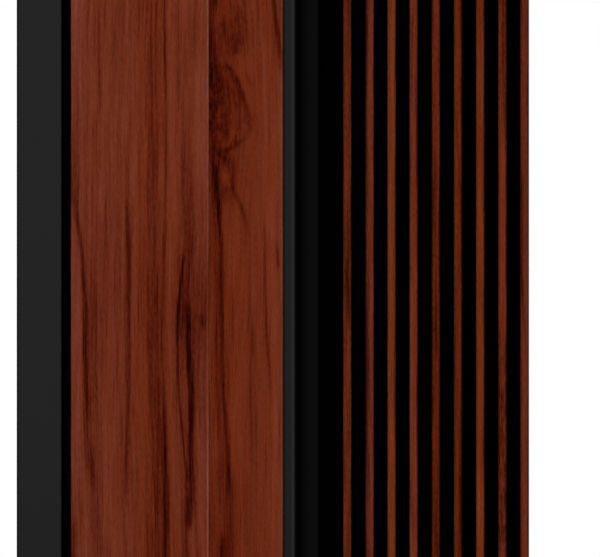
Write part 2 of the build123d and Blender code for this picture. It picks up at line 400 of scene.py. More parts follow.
def grainPlaces(points, seed, bend=0.0, run=grainRun):
    # Grain coordinates in millimetres: across with a slow wander, a seed that sets pieces apart, and along
    x, y, z = points.T
    wander = sum(size * np.sin(z / length + share * seed) for size, length, share in run["waves"])
    across = x + wander - run["depthLean"] * y + bend
    return np.stack([across, np.full_like(x, run["apart"] * seed), z + run["rise"] * x], axis=1)


# The wide plank, with its tongue on the right edge, in millimetres.
# A streak is its width, its fade, its reach and its places (x, z, darkness).
widePlank = {
    "bevel": 1.0, "bevelSteps": 5, "tongueBevel": 0.8, "tongueThickness": 5.0, "seed": 1.7,
    "columnStep": 0.9, "rowStep": 4.0, "lipStep": 2, "sideStep": 3, "edgeStep": 4, "backStep": 12,
    # Painted shade on the left arris by the gap, and how far it reaches
    "leftPaintedShade": -0.18, "leftReach": 2.0,
    "arrisHighlight": 0.2, "highlightFrom": (2.55, 1.8),  # painted highlight on the arris by the seam, and where it starts and is full
    "highlightAlong": [(-600, 1.2), (-240, 1.25), (-150, 0.7), (-40, 0.4), (60, 0.4), (120, 0.12), (220, 0.2),
        (290, 1.0), (600, 0.9)],  # z, and its share there
    "plainX": (-132, -112), "plainZ": (-20, 90), "plainPale": 0.06,  # the smooth stretch at the upper right
    "casts": [(-237, -0.5), (-232, -0.32), (-222, -0.16), (-200, -0.05), (-164, -0.03), (-156, 0.2),
        (-124, 0.2), (-116, 0.1), (-96, 0.08), (-86, -0.05), (-75, -0.25)],  # x, and how warm, or rosy
    "streaks": [
        (2.7, 16, 10, [(-234, 105, 0.3), (-232, 92, 0.5), (-230, 74, 0.7), (-226, 50, 0.8),
            (-223, 25, 0.85), (-221.5, 2, 0.82), (-219.5, -26, 0.82), (-219.5, -54, 0.88),
            (-220.3, -82, 1.0), (-219.5, -110, 0.94), (-219, -138, 0.74), (-219, -166, 0.8),
            (-218.5, -190, 0.5), (-217, -215, 0.4), (-216.5, -240, 0.2)]),
        (2.2, 14, 10, [(-212.5, -185, 0.2), (-211.5, -205, 0.45), (-211, -222, 0.55), (-210, -251, 0.3)]),
        (8.0, 40, 14, [(-219, 400, -0.2), (-219, 326, -0.25), (-219, 280, -0.1)]),
        (3.5, 40, 14, [(-230, 0, -0.15), (-230, -60, -0.2), (-230, -220, -0.2)]),
        (5.0, 40, 14, [(-211.5, -205, 0.2), (-211.5, -326, 0.3), (-210, -420, 0.1)]),
        (4.0, 40, 14, [(-155.5, 400, 0.2), (-155.5, 326, 0.25), (-155.5, 240, 0.2)]),
        (6.0, 30, 14, [(-173, -290, -0.2), (-173, -340, -0.2)]),
        (7.0, 40, 14, [(-89, -165, -0.15), (-88, -250, -0.25), (-88, -340, -0.2)]),
        (5.0, 40, 14, [(-231, 210, 0.2), (-231, 110, 0.6), (-231, 60, 0.1)]),
        (5.0, 30, 10, [(-221, -260, -0.1), (-221, -326, -0.3), (-221, -400, -0.1)]),
        # Painted shade by the gap at the plank's lower left edge
        (3.5, 30, 10, [(-235, -275, 0.2), (-235, -326, 0.9), (-234, -420, 0.4)]),
        (5.0, 40, 14, [(-211, 20, 0.2), (-211, -40, 0.3), (-211, -170, 0.3), (-211, -200, 0.2)]),
        (5.0, 40, 14, [(-204, 90, 0.2), (-203.5, 20, 0.33), (-203, -40, 0.35), (-203, -70, 0.2)]),
        (6.0, 60, 14, [(-165, 326, -0.3), (-165, 150, -0.2), (-165, 60, -0.1), (-165, -100, -0.2),
            (-164, -170, -0.1)]),
        (2.7, 20, 14, [(-171, 98, 0.3), (-170, 54, 0.5), (-168.5, 23, 0.57), (-168, -88, 0.55),
            (-169, -128, 0.48), (-170.5, -176, 0.43), (-171, -215, 0.35), (-171, -262, 0.2)]),
        (1.5, 40, 14, [(-124, 590, 0.6), (-128, 450, 0.5), (-127, 326, 0.8), (-126, 254, 0.9),
            (-126, 209, 0.7), (-125, 139, 0.5), (-127, 43, 0.3), (-129, -10, 0.4), (-131, -54, 0.3),
            (-128, -145, 0.6), (-127, -187, 0.7), (-126, -249, 0.6), (-126, -325, 0.6), (-128, -450, 0.6),
            (-124, -590, 0.6)]),
        (2.9, 30, 14, [(-128, -150, 0.2), (-127.5, -180, 0.4), (-126.8, -249, 0.7), (-126.8, -325, 0.72),
            (-127, -430, 0.5)]),
        (1.3, 20, 12, [(-135, -105, 0.1), (-134, -138, 0.2), (-134, -166, 0.2), (-133.5, -190, 0.1)]),
        (1.4, 30, 14, [(-143, 400, 0.2), (-142, 310, 0.4), (-142, 255, 0.4), (-141, 200, 0.2),
            (-140, 110, 0.3), (-139, 20, 0.3)]),
        (9.0, 40, 14, [(-142, 420, 0.2), (-142, 326, 0.28), (-142, 209, 0.22), (-141, 92, 0.26),
            (-141, 25, 0.2)]),
        (8.0, 40, 14, [(-141, 30, 0.2), (-141, -10, 0.45), (-139, -49, 0.45), (-139, -142, 0.5),
            (-139, -224, 0.4), (-139, -325, 0.4), (-139, -480, 0.3)]),
        (1.4, 20, 12, [(-203, 330, 0.25), (-204, 285, 0.25), (-202, 180, 0.2), (-203, 120, 0.2)]),
        (1.1, 20, 12, [(-196, 340, 0.15), (-197, 280, 0.15), (-198, 250, 0.15)]),
        (1.2, 20, 12, [(-186, 300, 0.2), (-187, 210, 0.3), (-186, 60, 0.2)]),
        (1.2, 20, 12, [(-156.5, 230, 0.2), (-156.5, 150, 0.35), (-155.5, 40, 0.35), (-154, -60, 0.3)]),
        (1.9, 30, 14, [(-103.5, 200, 0.15), (-104.5, 143, 0.4), (-105, 115, 0.42), (-103, 70, 0.35),
            (-102, 40, 0.4)]),
        (4.0, 40, 14, [(-109, 340, 0.1), (-109, 250, 0.25), (-108, 180, 0.1)]),
        (5.0, 25, 10, [(-91, 320, 0.1), (-91, 285, 0.25), (-92, 258, 0.1)]),
        (4.0, 40, 14, [(-103, 170, 0.15), (-103, 110, 0.2), (-102, 80, 0.1)]),
        (9.0, 40, 14, [(-86, 260, -0.1), (-86, 200, -0.3), (-86, 130, -0.2), (-86, 90, -0.05)]),
        (7.0, 50, 14, [(-113, -60, -0.1), (-113, -130, -0.2), (-114, -326, -0.2), (-113, -420, -0.1)]),
        (1.4, 15, 12, [(-104, 35, 0.2), (-105.5, 12, 0.5), (-109, -15, 0.6), (-111, -49, 0.7),
            (-111.5, -84, 0.8), (-111, -119, 0.8), (-107.5, -166, 0.8), (-104, -207, 0.8),
            (-100, -236, 0.5)]),
        (2.1, 10, 8, [(-106, 25, 0.3), (-108, 0, 0.6), (-110, -30, 0.7), (-111, -58, 0.4),
            (-111.5, -78, 0.1)]),
        (3.4, 8, 14, [(-99.5, -30, 0.4), (-99, -50, 0.8), (-98.5, -90, 1.05), (-96.8, -112, 1.25),
            (-96, -140, 1.4), (-96, -176, 1.12), (-95.7, -217, 1.1), (-96.2, -250, 1.4),
            (-96.8, -275, 1.15), (-96.5, -292, 0.5)]),
        (1.3, 5, 3, [(-84, -42, 0.4), (-81, -58, 0.6)]),
        (1.2, 4, 3, [(-88, -60, 0.3), (-86, -72, 0.4)]),
        (6.0, 30, 12, [(-100, 130, 0.1), (-99, 70, 0.15), (-99, 20, 0.25), (-102, -40, 0.33),
            (-102, -80, 0.1)]),
        (6.0, 30, 12, [(-103, -220, 0.1), (-103, -280, 0.3), (-103, -330, 0.4), (-104, -420, 0.1)]),
        (10.0, 60, 14, [(-93, 170, 0.1), (-94, 90, 0.2), (-89, 20, 0.3), (-84, -30, 0.5), (-86, -80, 0.3),
            (-92, -130, 0.0)]),
        (1.8, 30, 14, [(-200, 560, 0.4), (-204, 450, 0.7), (-198, 380, 0.5)]),
        (2.2, 30, 14, [(-104, -600, 0.6), (-108, -500, 0.9), (-101, -410, 0.5)]),
        (2.0, 30, 14, [(-186, -600, 0.4), (-180, -520, 0.8), (-184, -420, 0.5)]),
    ],
}


def makeWidePlank(plank):
    # The plank's section, with rounded front arrises and the tongue, carried from end to end
    (left, front, _), (reach, back, _) = boxOf("wide_plank")
    seam = boxOf("narrow_plank")[0][0]
    bevel, nose = plank["bevel"], plank["tongueBevel"]
    tongueFront = (front + back - plank["tongueThickness"]) / 2
    tongueBack = tongueFront + plank["tongueThickness"]
    profile = np.concatenate([
        roundedFront(left, seam, front, bevel, plank["bevelSteps"], plank["columnStep"]),
        runs(plank["lipStep"], (seam, front + bevel), (seam, tongueFront)),
        runs(plank["sideStep"], (seam, tongueFront), (reach - nose, tongueFront), (reach, tongueFront + nose),
             (reach, tongueBack - nose), (reach - nose, tongueBack), (seam, tongueBack), (seam, back)),
        runs(plank["backStep"], (seam, back), (left, back)),
        runs(plank["edgeStep"], (left, back), (left, front + bevel)),
    ])
    points, faces = carryUp(profile, plank["rowStep"])
    x, y, z = points.T
    # A painted highlight along the arris by the seam
    highlightStart, highlightFull = plank["highlightFrom"]
    pale = plank["arrisHighlight"] * smooth(x, seam - highlightStart, seam - highlightFull) * (y < front + bevel)
    pale = pale * np.interp(z, *np.array(plank["highlightAlong"]).T)
    # Painted shade on the left arris
    shade = plank["leftPaintedShade"] * (1 - smooth(x, left, left + plank["leftReach"]))
    plain = plank["plainPale"] * smooth(x, *plank["plainX"]) * smooth(z, *plank["plainZ"])
    values = {
        "grain": grainPlaces(points, plank["seed"]), "streak": streakMap(x, z, plank["streaks"]),
        "tone": pale + shade + plain, "cast": np.interp(x, *np.array(plank["casts"]).T)}
    return newPiece("widePlankWood", points, faces, wideWood, "wide_plank", values)


makeWidePlank(widePlank)
print("wide plank made")

# The narrow plank, with its groove on the left edge and the rebate that the lip of the trim covers
narrowPlank = {
    "bevel": 1.0, "bevelSteps": 5, "grooveDepth": 7.2, "grooveWidth": 5.4, "rebateDepth": 2.0, "lipGap": 0.2,
    "columnStep": 0.85, "rowStep": 3.0, "lipStep": 1, "seamStep": 2, "sideStep": 3, "edgeStep": 4,
    # Painted shade along the seam with the wide plank, and where it starts and is full
    "backStep": 12, "seed": 4.1, "seamPaintedShade": -0.05, "seamReach": (1.8, 0.8),
    "arrisHighlight": 0.14, "highlightFrom": (1.3, 0.9),  # painted highlight on the arris by the trim, and where it starts and is full
    # Painted shade on the rounded edge by the lip of the trim, and its fade
    "lipPaintedShade": -0.22, "lipFade": 0.1,
    "casts": [(-75, 0.16), (-42, 0.12), (-30, 0.03), (2, 0.0), (7, -0.2), (9.5, -0.7), (11, -1.2)],
    "knot": {
        "x": -74, "z": 194, "halfWidth": 23, "halfHeight": 56, "dark": 0.58, "squeeze": 0.8,
        "squeezeReach": 1.6, "eyeShare": 0.15, "eyeEdge": (-3.5, 3.0),
        "rimWidth": 6.0, "rimReach": 5, "rimFade": (4, 8),
        "rim": [(-56, 254, 0.3), (-49, 247, 0.6), (-43, 238, 0.7), (-38, 228, 0.7), (-32.5, 212, 0.6),
            (-28.5, 201, 0.5), (-25.5, 193, 0.5), (-23, 181, 0.5), (-23.5, 174, 0.4), (-27, 167, 0.25),
            (-41, 152, 0.1), (-60, 136, 0.1)],
    },
    "rings": [
        (2.6, 9, 4, [(-54, 230, 0.2), (-42, 205, 0.15), (-38, 186, 0.1), (-41, 168, 0.2),
            (-52, 153, 0.3)]),
        (3.2, 9, 4, [(-63, 215, 0.2), (-53, 195, 0.15), (-50, 183, 0.1), (-54, 164, 0.2)]),
        (5.5, 7, 3, [(-33, 167, 0.2), (-40, 160, 0.3), (-47, 154, 0.35), (-55, 149, 0.35),
            (-62, 145, 0.3)]),
        (2.5, 7, 4, [(-32, 243, 0.2), (-28, 232, 0.3), (-24, 222, 0.15)]),
        (4.5, 12, 5, [(-58, 205, 0.2), (-56, 170, 0.25)]),
        (10.0, 25, 10, [(-45, 380, 0.2), (-42, 326, 0.35), (-40, 290, 0.5), (-43, 262, 0.35)]),
    ],
    "streaks": [
        (2.5, 10, 8, [(-69, 133, 0.6), (-67, 122, 0.9), (-65, 97, 0.98), (-61.5, 60, 0.78),
            (-60, 30, 0.65), (-59.8, -26, 0.55), (-59, -80, 0.52), (-57.8, -124, 0.6), (-55, -175, 0.72),
            (-52, -214, 0.62), (-51, -235, 0.55), (-50.5, -255, 0.3)]),
        (5.0, 8, 5, [(-66, 146, 0.4), (-58, 140, 0.4), (-50, 137, 0.2)]),
        (6.0, 30, 14, [(-61, -140, 0.15), (-58, -190, 0.3), (-56, -250, 0.3)]),
        (5.0, 40, 14, [(-71, 420, 0.3), (-71, 326, 0.35), (-71, 280, 0.4), (-69, 130, 0.3),
            (-69, 60, 0.3), (-69, 20, 0.1)]),
        (2.4, 30, 14, [(-68, 70, 0.2), (-67.5, 20, 0.3), (-67.5, -60, 0.3), (-66, -150, 0.2)]),
        (5.0, 30, 14, [(-51.5, 0, 0.1), (-51.5, -50, 0.25), (-51, -120, 0.25), (-49, -150, 0.1)]),
        (5.0, 30, 14, [(5, 270, -0.1), (5, 200, -0.25), (5, 110, -0.2)]),
        (5.0, 30, 14, [(-1, -90, -0.2), (-1, -140, -0.3), (2, -200, -0.2), (4, -330, -0.2)]),
        (3.3, 10, 8, [(-66, 140, 0.2), (-66, 122, 0.35), (-65, 97, 0.2), (-62, 75, 0.1)]),
        (8.0, 18, 8, [(-62, 152, 0.4), (-52, 140, 0.5), (-49, 120, 0.45), (-52, 92, 0.3)]),
        (7.0, 30, 12, [(-48, -225, 0.2), (-50, -262, 0.5), (-52, -326, 0.5), (-50, -420, 0.3)]),
        (8.0, 25, 10, [(-60, 300, 0.2), (-60, 265, 0.35), (-60, 240, 0.25), (-60, 200, 0.1)]),
        (5.0, 20, 10, [(-68, 165, 0.15), (-68, 130, 0.2), (-68, 95, 0.2), (-68, 70, 0.1)]),
        (3.0, 30, 12, [(-59.5, 20, 0.15), (-59.5, -60, 0.22), (-58.5, -110, 0.22), (-56, -150, 0.15)]),
        (6.0, 40, 12, [(0, 100, -0.1), (0, 30, -0.25), (0, -60, -0.25), (0, -100, -0.1)]),
        (1.7, 12, 10, [(-60, -300, 0.7), (-60, -330, 0.9), (-58, -420, 0.8), (-62, -540, 0.6)]),
        (2.7, 12, 8, [(-50, 124, 0.15), (-46.5, 106, 0.3), (-40, 90, 0.6), (-35, 78, 0.6),
            (-31, 64, 0.28), (-28, 45, 0.08)]),
        (1.6, 14, 8, [(-28, 60, 0.1), (-26.5, -19, 0.25), (-25.5, -60, 0.38), (-26, -110, 0.5),
            (-26, -138, 0.6), (-25.5, -170, 0.42), (-25, -210, 0.2), (-26, -330, 0.2)]),
        (1.5, 14, 10, [(-9.5, 62, 0.4), (-9, 2, 0.6), (-8, -49, 0.65), (-7, -78, 0.7), (-4, -105, 0.5),
            (-1, -150, 0.2)]),
        (1.8, 10, 6, [(3.5, 43, 0.4), (5.5, 19, 0.6), (6.5, 10, 0.4)]),
        (2.9, 12, 8, [(-5, 380, 0.4), (1, 326, 0.65), (4, 298, 0.75), (8, 268, 0.65), (10, 240, 0.3)]),
        (2.8, 10, 6, [(-67, 400, 0.3), (-67, 330, 0.55), (-66, 316, 0.5)]),
        (2.4, 12, 8, [(-73.5, 420, 0.3), (-73.5, 318, 0.35), (-73.3, 290, 0.5), (-73, 275, 0.42),
            (-73, 250, 0.3), (-72.5, 225, 0.3)]),
        # Painted shade along the seam with the wide plank
        (3.0, 40, 14, [(-73.5, 90, 0.1), (-73.5, 40, 0.22), (-73.5, -60, 0.14), (-73.5, -130, 0.25),
            (-73.5, -230, 0.12), (-73.5, -420, 0.1)]),
        (1.4, 8, 5, [(-57, 305, 0.6), (-57, 284, 0.6)]),
        (4.0, 7, 4, [(-40, 281, 0.35), (-42, 270, 0.4), (-44, 262, 0.2)]),
        (4.0, 12, 5, [(-56, 124, -0.7), (-54, 112, -0.7)]),
        (3.5, 30, 12, [(11, 420, 0.1), (11, 320, 0.2), (11.5, 240, 0.2), (11.5, 190, 0.1)]),
        (2.0, 30, 14, [(-30, 590, 0.5), (-34, 480, 0.8), (-28, 400, 0.4)]),
        (1.8, 30, 14, [(-14, -400, 0.4), (-10, -480, 0.8), (-16, -580, 0.5)]),
    ],
}


def makeNarrowPlank(plank):
    # The plank's section, with rounded front arrises, groove and rebate, carried from end to end
    (left, front, _), (reach, back, _) = boxOf("narrow_plank")
    bevel, grooveFloor = plank["bevel"], left + plank["grooveDepth"]
    grooveFront = (front + back - plank["grooveWidth"]) / 2
    grooveBack = grooveFront + plank["grooveWidth"]
    right = boxOf("edge_trim")[0][0] - plank["lipGap"]
    rebate = front + plank["rebateDepth"]
    profile = np.concatenate([
        roundedFront(left, right, front, bevel, plank["bevelSteps"], plank["columnStep"]),
        runs(plank["lipStep"], (right, front + bevel), (right, rebate)),
        runs(plank["edgeStep"], (right, rebate), (reach, rebate), (reach, back)),
        runs(plank["backStep"], (reach, back), (left, back)),
        runs(plank["sideStep"], (left, back), (left, grooveBack), (grooveFloor, grooveBack),
             (grooveFloor, grooveFront), (left, grooveFront)),
        runs(plank["seamStep"], (left, grooveFront), (left, front + bevel)),
    ])
    points, faces = carryUp(profile, plank["rowStep"])
    x, y, z = points.T
    knotDark, bend = knotMap(x, z, plank["knot"])
    knotDark = knotDark + streakMap(x, z, plank["rings"])
    (seamStart, seamFull), (highlightStart, highlightFull) = plank["seamReach"], plank["highlightFrom"]
    edge, fade = right - bevel, plank["lipFade"]
    # A painted highlight by the trim, painted shade on the rounded edge past it and along the seam
    pale = plank["arrisHighlight"] * smooth(x, edge - highlightStart, edge - highlightFull)
    shaded = smooth(x, edge - fade, edge + fade)
    tone = plank["seamPaintedShade"] * smooth(left - x, -seamStart, -seamFull)
    tone = tone + pale * (1 - shaded) + plank["lipPaintedShade"] * shaded
    values = {
        "grain": grainPlaces(points, plank["seed"], bend), "streak": streakMap(x, z, plank["streaks"]),
        "knot": knotDark, "tone": tone * (y < front + bevel + hair),
        "cast": np.interp(x, *np.array(plank["casts"]).T)}
    return newPiece("narrowPlankWood", points, faces, narrowWood, "narrow_plank", values)


makeNarrowPlank(narrowPlank)
print("narrow plank made")

# The slats: lists have one value for each, from left to right. Streaks are given for some slats, with places
# from the slat's middle, and short dark ones are drawn for all.
slatField = {
    "edgeRadius": 0.8, "edgeSteps": 6, "columnStep": 0.7, "rowStep": 6.0, "sideStep": 4, "backStep": 5,
    "tones": [-0.12, -0.1, 0.07, 0.03, -0.13, -0.13, 0.09, 0.02, -0.01],
    "browns": [0.9, 0.2, 0.4, 0.0, 0.0, 0.8, 0.4, 0.0, 0.1],
    "leans": [-0.02, 0.18, 0.02, -0.03, 0.03, -0.06, 0.0, 0.0, 0.03],  # paler towards the right, or the left
    "casts": [0.0, -0.12, 0.1, 0.05, 0.45, 0.25, 0.45, 0.25, 0.05],  # warmer, or rosier below 0
    # Painted shade on each slat's right arris, from left to right
    "rightPaintedShades": [0.0, -0.05, -0.3, -0.35, -0.3, -0.45, -0.4, -0.3, -0.3],
    "mottled": {8: (-330, -70, 0.55)}, "mottledFade": 40,  # slat: from, to, darkness
    "edgePaintedShade": -0.34, "edgeFrom": (-1.0, 2.4), "rightFrom": (-0.5, 3.0), "sideReach": 3.0,  # painted shade on the arrises
    "edgeCast": -0.7, "edgeCastReach": 2.4,
    "seed": 20, "streaksEach": 5, "streakLength": (40, 220), "streakWidth": (0.7, 1.8),
    "streakDark": (0.1, 0.3), "streakSpread": 3.5, "streakLean": 1, "streakFade": 0.3, "streakReach": 10,
    "grainSeed": 10.0, "grainStep": 1.37,
    "streaks": {
        1: [(1.0, 20, 10, [(0.8, 90, 0.2), (0.8, 50, 0.6), (0.6, 10, 0.6), (0.5, -10, 0.3)]),
            (3.0, 20, 10, [(0.0, 20, 0.2), (0.5, -5, 0.5), (0.8, -35, 0.5), (0.0, -60, 0.2)])],
        2: [(1.6, 40, 14, [(-3.5, 400, 0.5), (-3.5, 290, 0.5), (-3.0, 230, 0.2)])],
        5: [(1.1, 25, 10, [(-1.5, 150, 0.4), (-1.0, 90, 0.3), (-0.8, 0, 0.3), (0.0, -50, 0.8),
                (-0.5, -80, 0.8), (-1.0, -110, 0.5), (-1.0, -150, 0.2)])],
        6: [(3.2, 60, 14, [(2.0, -90, 0.05), (2.0, -220, 0.15), (2.0, -330, 0.25), (2.0, -450, 0.2)])],
        8: [(2.2, 30, 12, [(1.5, 420, 0.3), (1.0, 326, 0.4), (1.0, 200, 0.45), (0.5, 160, 0.2)])],
        9: [(1.4, 15, 12, [(-3.2, 115, 0.5), (-3.0, 60, 0.6), (-2.8, 0, 0.6), (-2.0, -25, 0.8),
                (-2.0, -60, 0.3)]),
            (2.4, 20, 12, [(1.6, 420, 0.2), (1.6, 300, 0.3), (1.8, 200, 0.35), (1.8, 130, 0.3)])],
    },
}


def drawStreaks(draw, middle, slats):
    # Straight streaks that lean a little, at random places along one slat
    streaks = []
    spread, lean = slats["streakSpread"], slats["streakLean"]
    for _ in range(slats["streaksEach"]):
        start, length = draw.uniform(-endZ, endZ), draw.uniform(*slats["streakLength"])
        place = middle + draw.uniform(-spread, spread)
        dark = draw.uniform(*slats["streakDark"])
        route = [(place, start, dark), (place + draw.uniform(-lean, lean), start + length, dark)]
        width = draw.uniform(*slats["streakWidth"])
        streaks.append((width, slats["streakFade"] * length, slats["streakReach"], route))
    return streaks


def makeSlats(slats):
    # Nine upright slats: a section with rounded front edges carried from end to end
    draw = np.random.default_rng(slats["seed"])
    looks = zip(*(slats[key] for key in ("tones", "browns", "leans", "casts", "rightPaintedShades")))
    for number, (tone, brown, lean, cast, rightPaintedShade) in enumerate(looks, start=1):
        (left, front, _), (right, back, _) = boxOf(f"slat_{number}")
        middle, edge = (left + right) / 2, slats["edgeRadius"]
        profile = np.concatenate([
            roundedFront(left, right, front, edge, slats["edgeSteps"], slats["columnStep"]),
            runs(slats["sideStep"], (right, front + edge), (right, back)),
            runs(slats["backStep"], (right, back), (left, back)),
            runs(slats["sideStep"], (left, back), (left, front + edge)),
        ])
        points, faces = carryUp(profile, slats["rowStep"])
        streaks = drawStreaks(draw, middle, slats)
        for width, fade, reach, route in slats["streaks"].get(number, []):
            route = [(middle + place, height, dark) for place, height, dark in route]
            streaks.append((width, fade, reach, route))
        x, y, z = points.T
        bottom, top, dark = slats["mottled"].get(number, (0, 1, 0))
        fromEdge = np.minimum(x - left, right - x)
        inFront = 1 - smooth(y, front + edge, front + slats["sideReach"])  # the painted shade stays on the front, the sides keep their tone
        shades = slats["edgePaintedShade"] * (1 - smooth(fromEdge, *slats["edgeFrom"]))
        shades = shades + rightPaintedShade * (1 - smooth(right - x, *slats["rightFrom"]))
        values = {
            "grain": grainPlaces(points, slats["grainSeed"] + slats["grainStep"] * number),
            "streak": streakMap(x, z, streaks), "brown": np.full_like(x, brown),
            "tone": tone + lean * (x - middle) / (right - middle) + shades * inFront,
            "cast": cast + slats["edgeCast"] * (1 - smooth(fromEdge, 0.0, slats["edgeCastReach"])),
            "knot": dark * between(z, bottom, top, slats["mottledFade"], slats["mottledFade"])}
        newPiece(f"slatWood.{number}", points, faces, slatWood, f"slat_{number}", values)


makeSlats(slatField)
print("slats made")

# Powder-coated profiles: a fine orange-peel skin, bare metal where they are sawn. Noises repeat per metre.
coatLook = {
    "colour": linear(26, 26, 26), "pale": linear(30, 30, 30), "bareMetal": linear(190, 190, 192),
    "peel": ((900.0, 900.0, 900.0), 2.0), "peelShare": 0.3, "peelRough": 0.12,
    "peelDepth": 0.00006, "peelStrength": 0.6,
    "cloud": ((14.0, 14.0, 5.0), 3.0), "cloudShare": 0.7,
    "sawMarks": ((4000.0, 150.0, 1.0), 2.0), "sawRough": 0.3,
    "roughness": 0.55, "specular": 0.08,
    "shadeAndHighlightBands": [(-302, -297.6, 0.3, linear(9, 9, 9))],  # painted shade on the stile's left arris: from, to and fade in millimetres, colour
}
trimLook = {
    **coatLook, "colour": linear(22, 22, 22), "pale": linear(26, 26, 26),
    # Painted shade on the lip by the groove at the plank, a painted highlight on the rounded right edge and
    # painted shade past it
    "shadeAndHighlightBands": [
        (11.0, 14.3, 0.3, linear(3, 3, 3)), (22.3, 24.0, 0.5, linear(39, 39, 39)),
        (24.9, 28.0, 0.5, linear(7, 7, 7))],
}


def coatFinish(name, look):
    # Two greys mixed by noise, with bands of painted shade and painted highlight along the profile; sawn ends
    # are bare metal
    finish, start, place = newFinish(name)
    peel, cloud, marks = (noise(place, *look[key]) for key in ("peel", "cloud", "sawMarks"))
    share = cloud * look["cloudShare"] + peel * look["peelShare"]
    coat = mixColour(start, share, look["colour"], look["pale"])
    across = axisOf(place, "X")
    for left, right, fade, colour in look["shadeAndHighlightBands"]:
        rise = stretch(across, (left - fade) * mm, (left + fade) * mm)
        fall = stretch(across, (right - fade) * mm, (right + fade) * mm, 1.0, 0.0)
        coat = mixColour(start, rise * fall, coat, colour)
    sawn = sawnEnds(place)
    bright = sawn * (marks - 1.0) * look["sawRough"]
    closeFinish(start, {
        "Base Color": mixColour(start, sawn, coat, look["bareMetal"]),
        "Metallic": sawn,
        "Roughness": look["roughness"] + look["peelRough"] * (peel - 0.5) + bright,
        "Specular IOR Level": look["specular"],
    }, peel, look["peelDepth"], look["peelStrength"])
    return finish


# Fibreboard carrier: flat black paint in front, charcoal fibres at the back and on its edges
boardLook = {
    "paint": linear(1, 1, 1), "fibre": linear(28, 27, 26), "fibrePale": linear(60, 58, 55),
    "flecks": ((260.0, 260.0, 420.0), 4.0, 0.65), "fleckShare": 0.45, "fleckRough": 0.1,
    "fleckDepth": 0.0001, "fleckStrength": 0.4,
    "cloud": ((7.0, 7.0, 5.0), 4.0, 0.6), "cloudShare": 0.45,
    "scuffs": ((90.0, 90.0, 4.0), 3.0, 0.6), "scuffRange": (0.60, 0.78, 0.0, 0.35),
    "roughness": 0.85,
}


def boardFinish(name, look):
    # Paint where the depth is that of the front face, elsewhere two charcoals mixed by three noises
    finish, start, place = newFinish(name)
    painted = axisOf(place, "Y") < (boxOf("back_board")[0][1] + hair) * mm
    flecks = noise(place, *look["flecks"])
    scuffs = stretch(noise(place, *look["scuffs"]), *look["scuffRange"])
    share = flecks * look["fleckShare"] + noise(place, *look["cloud"]) * look["cloudShare"] + scuffs
    fibre = mixColour(start, share, look["fibre"], look["fibrePale"])
    closeFinish(start, {
        "Base Color": mixColour(start, painted, fibre, look["paint"]),
        "Roughness": look["roughness"] + look["fleckRough"] * (flecks - 0.5),
        "Specular IOR Level": 0.0,
    }, flecks, look["fleckDepth"], look["fleckStrength"])
    return finish


# Cover strip: black plastic with faint drawing lines along it, with painted shade next to the trim that fades
# towards its open edge
stripLook = {
    "colour": linear(13, 13, 13), "pale": linear(16, 16, 16), "trimShadeColour": linear(4, 4, 4),
    # the painted shade of the trim fades out between these two x, in millimetres
    "trimShadeFade": (26.0, 46.0), "roughness": 0.6,
    "drawn": ((1600.0, 1600.0, 3.0), 2.0), "drawnRough": 0.1, "drawnDepth": 0.00003, "drawnStrength": 0.5,
}


def stripFinish(name, look):
    # Plastic in painted shade next to the trim, fading out from left to right, with the lines in its colour,
    # roughness and relief
    finish, start, place = newFinish(name)
    drawn = noise(place, *look["drawn"])
    outOfTrimShade = stretch(axisOf(place, "X"), *(edge * mm for edge in look["trimShadeFade"]))
    stripGrey = mixColour(start, drawn, look["colour"], look["pale"])
    closeFinish(start, {
        "Base Color": mixColour(start, outOfTrimShade, look["trimShadeColour"], stripGrey),
        "Roughness": look["roughness"] + look["drawnRough"] * (drawn - 0.5),
        "Specular IOR Level": 0.0,
    }, drawn, look["drawnDepth"], look["drawnStrength"])
    return finish


# Zinc-plated steel for the screws and staples
zincLook = {
    "colour": linear(176, 178, 180), "dull": linear(128, 130, 134), "roughness": 0.34,
    "spangle": ((700.0, 700.0, 700.0), 3.0), "spangleRough": 0.25,
    "spangleDepth": 0.00002, "spangleStrength": 0.4,
}


def zincFinish(name, look):
    # Two greys of plating mixed by noise, the dull one smoother
    finish, start, place = newFinish(name)
    spangle = noise(place, *look["spangle"])
    closeFinish(start, {
        "Base Color": mixColour(start, spangle, look["dull"], look["colour"]),
        "Metallic": 1.0,
        "Roughness": look["roughness"] + look["spangleRough"] * (spangle - 0.5),
    }, spangle, look["spangleDepth"], look["spangleStrength"])
    return finish


cadFinishes = {
    "grey_profile": coatFinish("greyCoat", coatLook),
    "black_board": boardFinish("blackBoard", boardLook),
    "black_strip": stripFinish("blackStrip", stripLook),
    "zinc_steel": zincFinish("zincSteel", zincLook),
}
nodeFinishes = {"edge_trim": coatFinish("trimCoat", trimLook)}
for subpart in frame["record"]["subparts"]:
    finish = nodeFinishes.get(subpart["node"]) or cadFinishes.get(subpart["material_slot"])
    if finish:
        nodes[subpart["node"]].data.materials[0] = finish
print("finishes of the CAD nodes made")


def closeRings(rings, start, end):
    # Rings of equal count joined by quads, with one point closing the first ring and one the last
    rows, count = rings.shape[:2]
    points = np.concatenate([rings.reshape(-1, 3), [start, end]])
    ring = np.arange(count)
    after, lift = np.roll(ring, -1), count * (rows - 1)
    first, last = np.full(count, rows * count), np.full(count, rows * count + 1)
    fans = np.concatenate([np.stack([first, after, ring], 1), np.stack([last, ring + lift, after + lift], 1)])
    return points, bandFaces(rows, count).tolist() + fans.tolist()


def repeatAt(points, faces, places):
    # The same points and faces once at every place
    many = (points[None] + np.array(places, float)[:, None]).reshape(-1, 3)
    step = len(points)
    return many, [[corner + step * copy for corner in face] for copy in range(len(places)) for face in faces]


